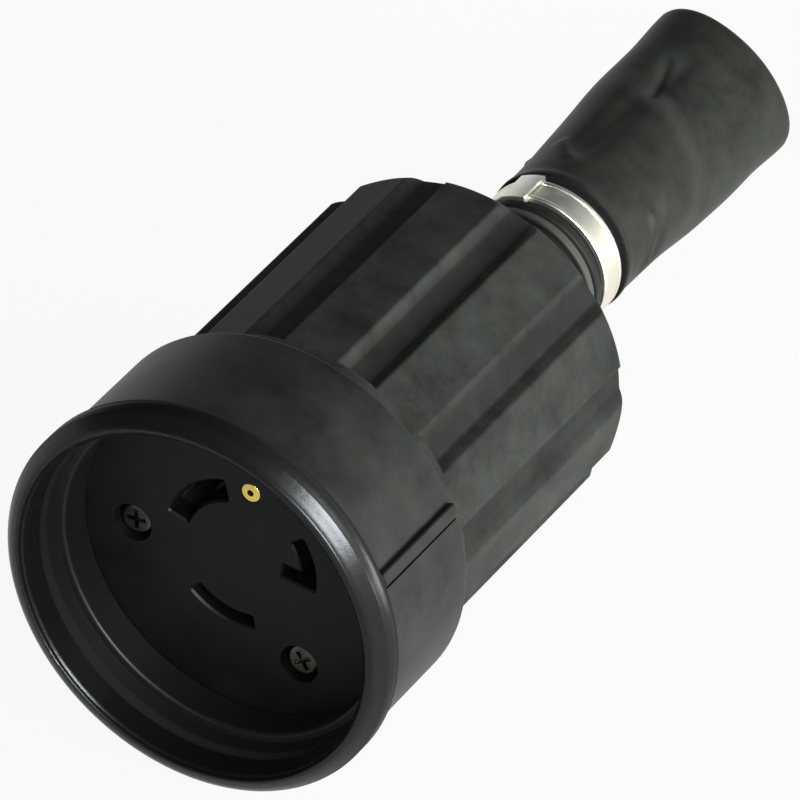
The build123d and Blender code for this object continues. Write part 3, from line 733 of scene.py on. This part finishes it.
class COUPLER_OT_sleeve(bpy.types.Operator):
    """Makes the soft cable sleeve, round at the clamp and flat at its free end."""

    bl_idname = "coupler.sleeve"
    bl_label = "Cable sleeve"

    # The mesh: rings up to just past the band, rings from there on, and points round a ring.
    FRONT_RINGS = 130
    REAR_RINGS = 84
    SPOKES = 168
    END_TURNS = (30, 60, 90, 120, 150)
    # Lengths past the band where the wider spaced rings start and where the bore starts to
    # open, and the length over which it opens.
    SPACED_PAST_BAND = 5 * MM
    OPENING_PAST_BAND = 4 * MM
    OPENING_LENGTH = 8 * MM
    # The steps of the outside, and the ridge that the band squeezes up behind itself.
    STEP_SLOPE = 0.45 * MM
    RIDGE_WIDTH = 1.1 * MM
    RIDGE_HEIGHT = 0.25 * MM

    # Depths where changes start, with their lengths: the end widens in two parts, of which the
    # shares come first, it flattens, and folds and lumps set in.
    WIDENING = ((0.82, 124 * MM, 34 * MM), (0.18, 164 * MM, 13 * MM))
    FLATTENING = (132 * MM, 44 * MM)
    SOFTENING = (121 * MM, 8 * MM)
    LUMP_LENGTH = 14 * MM
    LUMP_SCALE = 1.3
    LUMP_HEIGHT = 0.16 * MM

    # The side that the photograph shows, and how much further back the far side's folds lie.
    EYE_SIDE = radians(59)
    FAR_SHIFT = 5 * MM
    # The buckle's line: its depth, and what it loses of that per radian. Then the turn where the
    # buckle fades, how it sinks behind its line and comes up again, and the brow before it.
    BUCKLE_PLACE = 146.5 * MM
    BUCKLE_SLANT = 4.2 * MM
    BUCKLE_FADE = (radians(28), radians(50))
    SINK_LENGTH = 5.5 * MM
    SINK_END = 8 * MM
    SINK_FADE = 20 * MM
    BROW_SHARE = 0.35
    BROW_AHEAD = 1.5 * MM
    BROW_WIDTH = 2.2 * MM
    # Small folds: both ends as a way round from the eye's side and a depth, width and height.
    FOLDS = (
        ((-9.0 * MM, 128 * MM), (-8.0 * MM, 164 * MM), 2.4 * MM, -1.0),
        ((-11.2 * MM, 162 * MM), (-7.6 * MM, 150 * MM), 0.9 * MM, -0.8),
        ((7.6 * MM, 129.6 * MM), (18.0 * MM, 126.0 * MM), 0.9 * MM, 0.9),
        ((8.0 * MM, 132.2 * MM), (18.5 * MM, 128.8 * MM), 1.3 * MM, -0.7),
        ((-14.5 * MM, 131 * MM), (-10 * MM, 126 * MM), 1.2 * MM, 0.6),
    )
    FOLD_ENDS = (-0.15, 0.25)

    GRAIN_HEIGHT = 0.012 * MM
    # How bright the painted shade in the corners and the painted highlight on the front ring are
    # beside the colour, and the dullness of the corners.
    CORNER_PAINTED_SHADE = 0.12
    RING_PAINTED_HIGHLIGHT = 4
    CORNER_DULLNESS = 0.35
    # Ramp stops, as places in mm and levels, over the depth past a start: painted shade in the
    # corners beside the rings and the band, and a painted highlight on the front ring.
    RINGS_START = 105 * MM
    RINGS_REACH = 16 * MM
    CORNER_SHADE_STOPS = (
        (0, 0.9), (1.6, 0.9), (2.08, 0), (3.44, 0), (3.68, 1), (4.16, 1), (4.4, 0.25),
        (5.76, 0.25), (6, 1), (14.4, 1), (14.8, 0),
    )
    RING_HIGHLIGHT_STOPS = ((1.92, 0), (2.16, 0.8), (3.28, 0.8), (3.52, 0))

    def execute(self, context):
        self.size = context.scene.coupler_sleeve
        self.start, self.end = depths_of("cord_boot")
        self.band = depths_of("clamp_band")
        tube = bmesh.new()
        self.draw_wall(tube)
        bmesh.ops.spin(
            tube, geom=tube.verts[:] + tube.edges[:], axis=(0, 0, 1), cent=(0, 0, 0),
            angle=tau, steps=self.SPOKES, use_merge=True,
        )
        bmesh.ops.remove_doubles(tube, verts=tube.verts, dist=0.001 * MM)
        for vertex in tube.verts:
            vertex.co = self.softened(vertex.co)
        bmesh.ops.recalc_face_normals(tube, faces=tube.faces)
        rubber = self.make_rubber(context.scene.coupler_rubber)
        sleeve = new_piece(tube, "cable_sleeve", rubber)
        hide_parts("cord_boot")
        return {"FINISHED"}

    def make_rubber(self, settings):
        """Rubber with painted shade by the rings and band, and a painted highlight on one ring."""
        color = settings.sleeve_color
        finish = rubber_finish(
            "sleeve_rubber", color, settings.sleeve_roughness, settings.grain_size,
            self.GRAIN_HEIGHT, gloss=0.12,
        )
        place = finish.depth() - self.RINGS_START
        # Painted shade in the corners beside the rings and the band.
        corners = finish.over(place, self.RINGS_REACH, self.CORNER_SHADE_STOPS)
        # A painted highlight on the front ring's rounded edge.
        pale = finish.over(place, self.RINGS_REACH, self.RING_HIGHLIGHT_STOPS)
        finish.set(
            Base_Color=finish.mix(
                pale, finish.mix(corners, finish.shade, brighter(color, self.CORNER_PAINTED_SHADE)),
                brighter(color, self.RING_PAINTED_HIGHLIGHT),
            ),
            Roughness=finish.sheen + corners * self.CORNER_DULLNESS,
        )
        return finish

    def draw_wall(self, tube):
        """The wall's outline beside the axis: out along the outside, back along the bore."""
        lip = self.size.wall / 2
        spaced = self.band[1] + self.SPACED_PAST_BAND
        outline = []
        for ring in range(self.FRONT_RINGS):
            depth = self.start + (spaced - self.start) * ring / self.FRONT_RINGS
            outline.append((self.outer_radius(depth), depth))
        for ring in range(self.REAR_RINGS + 1):
            depth = spaced + (self.end - lip - spaced) * ring / self.REAR_RINGS
            outline.append((self.outer_radius(depth), depth))
        middle = self.size.round_radius - lip
        for turn in self.END_TURNS:
            angle = radians(turn)
            outline.append((middle + lip * cos(angle), self.end - lip + lip * sin(angle)))
        inner = self.size.round_radius - self.size.wall
        opening = self.band[1] + self.OPENING_PAST_BAND
        for ring in range(self.REAR_RINGS + 1):
            depth = self.end - lip + (self.start - self.end + lip) * ring / self.REAR_RINGS
            share = rise(depth, opening, self.OPENING_LENGTH)
            outline.append((self.size.bore_radius * (1 - share) + inner * share, depth))
        corners = [tube.verts.new((radius, 0, -depth)) for radius, depth in outline]
        for corner, following in zip(corners, corners[1:] + corners[:1]):
            tube.edges.new((corner, following))

    def outer_radius(self, depth):
        """The round tube's outside: a skirt, two rings, the band's groove and the tube."""
        size = self.size
        groove_front = self.band[0] - size.groove_margin
        groove_back = self.band[1] + size.groove_margin
        steps = (
            (groove_front - 2 * size.ring_width - size.notch_width, size.round_radius),
            (groove_front - size.ring_width - size.notch_width, size.notch_radius),
            (groove_front - size.ring_width, size.round_radius),
            (groove_front, size.waist_radius),
            (groove_back, size.round_radius),
        )
        radius = size.skirt_radius
        for edge, following in steps:
            share = rise(depth, edge - self.STEP_SLOPE / 2, self.STEP_SLOPE)
            radius += (following - radius) * share
        ridge = hump(depth, groove_back + self.RIDGE_WIDTH, self.RIDGE_WIDTH)
        return radius + self.RIDGE_HEIGHT * ridge * rise(depth, groove_back, self.STEP_SLOPE)

    def softened(self, point):
        """Where a point of the round tube lies on the flattened, creased one."""
        radius = point.xy.length
        angle = atan2(point.y, point.x)
        depth = -point.z
        size = self.size
        off_eye = (self.EYE_SIDE - angle + pi) % tau - pi
        off_flat = angle - size.flat_angle
        widened = sum(share * rise(depth, *place) for share, *place in self.WIDENING)
        flattened = rise(depth, *self.FLATTENING)
        reach = size.round_radius + (size.flat_reach - size.round_radius) * widened
        thick = size.round_radius + (size.flat_depth - size.round_radius) * flattened
        oval = reach * thick / ((thick * cos(off_flat)) ** 2 + (reach * sin(off_flat)) ** 2) ** 0.5
        around = Vector((cos(angle), sin(angle), depth / self.LUMP_LENGTH))
        lump = noise.noise(around * self.LUMP_SCALE) * self.LUMP_HEIGHT
        moved = oval - size.round_radius
        moved += (self.creases(off_eye, depth) + lump) * rise(depth, *self.SOFTENING)
        scale = (radius + moved) / radius
        return Vector((point.x * scale, point.y * scale, point.z))

    def creases(self, off_eye, depth):
        """How far the folds raise the surface, at a turn away from the eye's side and a depth."""
        size = self.size
        raised = 0
        for side, shift in ((0, 0), (pi, self.FAR_SHIFT)):
            turn = (off_eye - side + pi) % tau - pi
            buckle = self.BUCKLE_PLACE + shift - self.BUCKLE_SLANT * turn
            sink = rise(depth, buckle, self.SINK_LENGTH)
            sink *= 1 - rise(depth, buckle + self.SINK_END, self.SINK_FADE)
            brow = self.BROW_SHARE * hump(depth, buckle - self.BROW_AHEAD, self.BROW_WIDTH)
            window = 1 - rise(abs(turn), *self.BUCKLE_FADE)
            raised += size.buckle_depth * (brow - sink) * window
            place = Vector((turn * size.round_radius, depth - shift))
            for start, end, width, height in self.FOLDS:
                raised += size.crease_depth * height * self.fold(place, start, end, width)
        return raised

    def fold(self, place, start, end, width):
        """1 on a fold's line, falling to 0 beside it and past its ends."""
        line = Vector(end) - Vector(start)
        offset = place - Vector(start)
        share = offset.dot(line) / line.length_squared
        beside = offset - line * min(max(share, 0), 1)
        ends = rise(share, *self.FOLD_ENDS) * rise(1 - share, *self.FOLD_ENDS)
        return hump(beside.length, 0, width) * ends


class COUPLER_OT_clamp(bpy.types.Operator):
    """Finishes the clamp band, its clip, screw and nut."""

    bl_idname = "coupler.clamp"
    bl_label = "Band clamp"

    def execute(self, context):
        metal = context.scene.coupler_metal
        band = metal_finish(
            "band_steel", metal.band_color, roughness=0.32, stretch=(1, 8, 1), dull=0.25,
        )
        steel = metal_finish("clamp_steel", metal.screw_color, roughness=0.3)
        dress(band, "clamp_band", "band_clip")
        dress(steel, "clamp_screw", "clamp_nut")
        return {"FINISHED"}


def add_light(name, power, sizes, place, aim, along=(1, 0, 0)):
    """A soft light at a place, pointed at the aim, with its length along a direction."""
    lamp = bpy.data.lights.new(name, "AREA")
    lamp.shape = "RECTANGLE"
    lamp.size, lamp.size_y = sizes
    lamp.energy = power
    light = bpy.data.objects.new(name, lamp)
    light.location = place
    back = (Vector(place) - aim).normalized()
    side = (Vector(along) - back * back.dot(Vector(along))).normalized()
    light.rotation_euler = Matrix((side, back.cross(side), back)).transposed().to_euler()
    bpy.context.scene.collection.objects.link(light)
    return light


class COUPLER_OT_stage(bpy.types.Operator):
    """Sets the pale floor, the soft lights, the sky and the camera."""

    bl_idname = "coupler.stage"
    bl_label = "Stage, lights and camera"

    # Half of the floor's width, in metres.
    FLOOR_REACH = 6
    # The studio's bright side, with ramp stops for its walls from the far side to this one.
    BRIGHT_SIDE = (0.88, -0.20, -0.42)
    WALLS = ((0.10, 0.03), (0.30, 0.15), (0.42, 0.25), (0.60, 0.70), (0.75, 1.1), (0.90, 1.6))
    DARK_TINT = (0.86, 1.0, 1.08)
    BRIGHT_TINT = (1.0, 0.99, 0.92)
    # A fill from behind, with its stops over the side and over the height.
    REAR_SIDE = (-0.45, 0.89, 0.0)
    REAR_FILL = ((0.30, 0), (0.90, 0.6))
    FILL_HEIGHT = ((0.15, 1), (0.45, 0))
    # White up to just above the horizon, so that the floor has no edge.
    WHITE_HEIGHT = ((0.04, 1), (0.10, 0))

    # Where the lights stand and how wide and high they are, in metres.
    SIDE_PLACE = (0.82, 0.12, 0.14)
    SIDE_SIZES = (0.40, 0.40)
    STRIP_PLACE = (0.454, -0.417, 0.468)
    STRIP_SIZES = (0.28, 0.32)
    STRIP_ALONG = (-0.547, -0.026, 0.549)

    def execute(self, context):
        stage = context.scene.coupler_stage
        self.add_floor(stage)
        self.set_sky(context.scene, stage)
        self.add_lights(stage)
        self.add_camera(context.scene, stage)
        context.scene.view_settings.view_transform = "Standard"
        return {"FINISHED"}

    def add_floor(self, stage):
        """A paper floor that is nearly plain white to the eye, and lit paper to the rest."""
        floor_mesh = bmesh.new()
        bmesh.ops.create_grid(floor_mesh, x_segments=1, y_segments=1, size=self.FLOOR_REACH)
        mesh = bpy.data.meshes.new("floor")
        floor_mesh.to_mesh(mesh)
        floor_mesh.free()
        floor = bpy.data.objects.new("floor", mesh)
        bpy.context.scene.collection.objects.link(floor)
        paper = Finish("floor_paper")
        paper.set(Base_Color=stage.floor_color, Roughness=0.9)
        glow = paper.node("ShaderNodeEmission")
        lit = Signal(paper, paper.shader.outputs[0])
        share = paper.seen_by_eye() * stage.floor_glow
        surface = paper.node("ShaderNodeMixShader", {}, {"Fac": share, 1: lit, 2: glow})
        paper.feed(paper.tree.nodes["Material Output"].inputs["Surface"], surface)
        mesh.materials.append(paper.material)

    def set_sky(self, scene, stage):
        """A studio, white low down, bright on the right, dim behind and dark up on the left."""
        world = bpy.data.worlds.new("studio")
        scene.world = world
        studio = Shading(world)
        direction = studio.node("ShaderNodeTexCoord", output="Generated")
        right = studio.toward(direction, Vector(self.BRIGHT_SIDE).normalized())
        rear = studio.toward(direction, Vector(self.REAR_SIDE).normalized())
        height = studio.toward(direction, (0, 0, 1))
        walls = studio.ramp(right * 0.5 + 0.5, *self.WALLS)
        fill = studio.ramp(rear, *self.REAR_FILL) * studio.ramp(height, *self.FILL_HEIGHT)
        filled = walls + fill
        white = studio.ramp(height, *self.WHITE_HEIGHT)
        level = filled + (1 - filled) * white
        tint = studio.mix(walls, self.DARK_TINT, self.BRIGHT_TINT)
        sky = studio.tree.nodes["Background"]
        studio.feed(sky.inputs["Strength"], level * stage.sky_strength)
        studio.feed(sky.inputs["Color"], studio.mix(white, tint, (1, 1, 1)))

    def add_lights(self, stage):
        """A large light on the right, and the strip, which only the gloss of surfaces shows."""
        aim = (cad_box[0] + cad_box[1]) / 2
        add_light("side_light", stage.side_power, self.SIDE_SIZES, self.SIDE_PLACE, aim)
        strip = add_light(
            "strip_light", stage.strip_power, self.STRIP_SIZES, self.STRIP_PLACE, aim,
            along=self.STRIP_ALONG,
        )
        strip.data.color = stage.strip_color
        strip.visible_diffuse = False

    def add_camera(self, scene, stage):
        """A camera at its azimuth, elevation and distance from the point that it looks at."""
        azimuth, elevation = stage.camera_azimuth, stage.camera_elevation
        back = Vector((
            sin(azimuth) * cos(elevation), -cos(azimuth) * cos(elevation), sin(elevation),
        ))
        lens = bpy.data.cameras.new("camera")
        lens.lens = stage.camera_lens
        camera = bpy.data.objects.new("camera", lens)
        camera.location = Vector(stage.look_at) + back * stage.camera_distance
        level = (-back).to_track_quat("-Z", "Y").to_matrix()
        camera.rotation_euler = (level @ Matrix.Rotation(stage.camera_roll, 3, "Z")).to_euler()
        scene.collection.objects.link(camera)
        scene.camera = camera


class COUPLER_PT_panel(bpy.types.Panel):
    """Lists the steps that dress the coupler."""

    bl_idname = "COUPLER_PT_panel"
    bl_label = "Cable coupler"
    bl_space_type = "VIEW_3D"
    bl_region_type = "UI"
    bl_category = "Coupler"

    def draw(self, context):
        for step in STEPS:
            self.layout.operator(step.bl_idname)


SETTINGS = {
    "coupler_stage": StageSettings,
    "coupler_rubber": RubberSettings,
    "coupler_plastic": PlasticSettings,
    "coupler_metal": MetalSettings,
    "coupler_sleeve": SleeveSettings,
}
STEPS = (
    COUPLER_OT_hood,
    COUPLER_OT_face,
    COUPLER_OT_contacts,
    COUPLER_OT_grip,
    COUPLER_OT_sleeve,
    COUPLER_OT_clamp,
    COUPLER_OT_stage,
)


def register():
    for group in (*SETTINGS.values(), *STEPS, COUPLER_PT_panel):
        bpy.utils.register_class(group)
    for name, group in SETTINGS.items():
        setattr(bpy.types.Scene, name, bpy.props.PointerProperty(type=group))


def unregister():
    for name in SETTINGS:
        delattr(bpy.types.Scene, name)
    for group in (COUPLER_PT_panel, *reversed(STEPS), *SETTINGS.values()):
        bpy.utils.unregister_class(group)


def main():
    register()
    for step in STEPS:
        family, name = step.bl_idname.split(".")
        getattr(getattr(bpy.ops, family), name)()


if __name__ == "__main__":
    main()
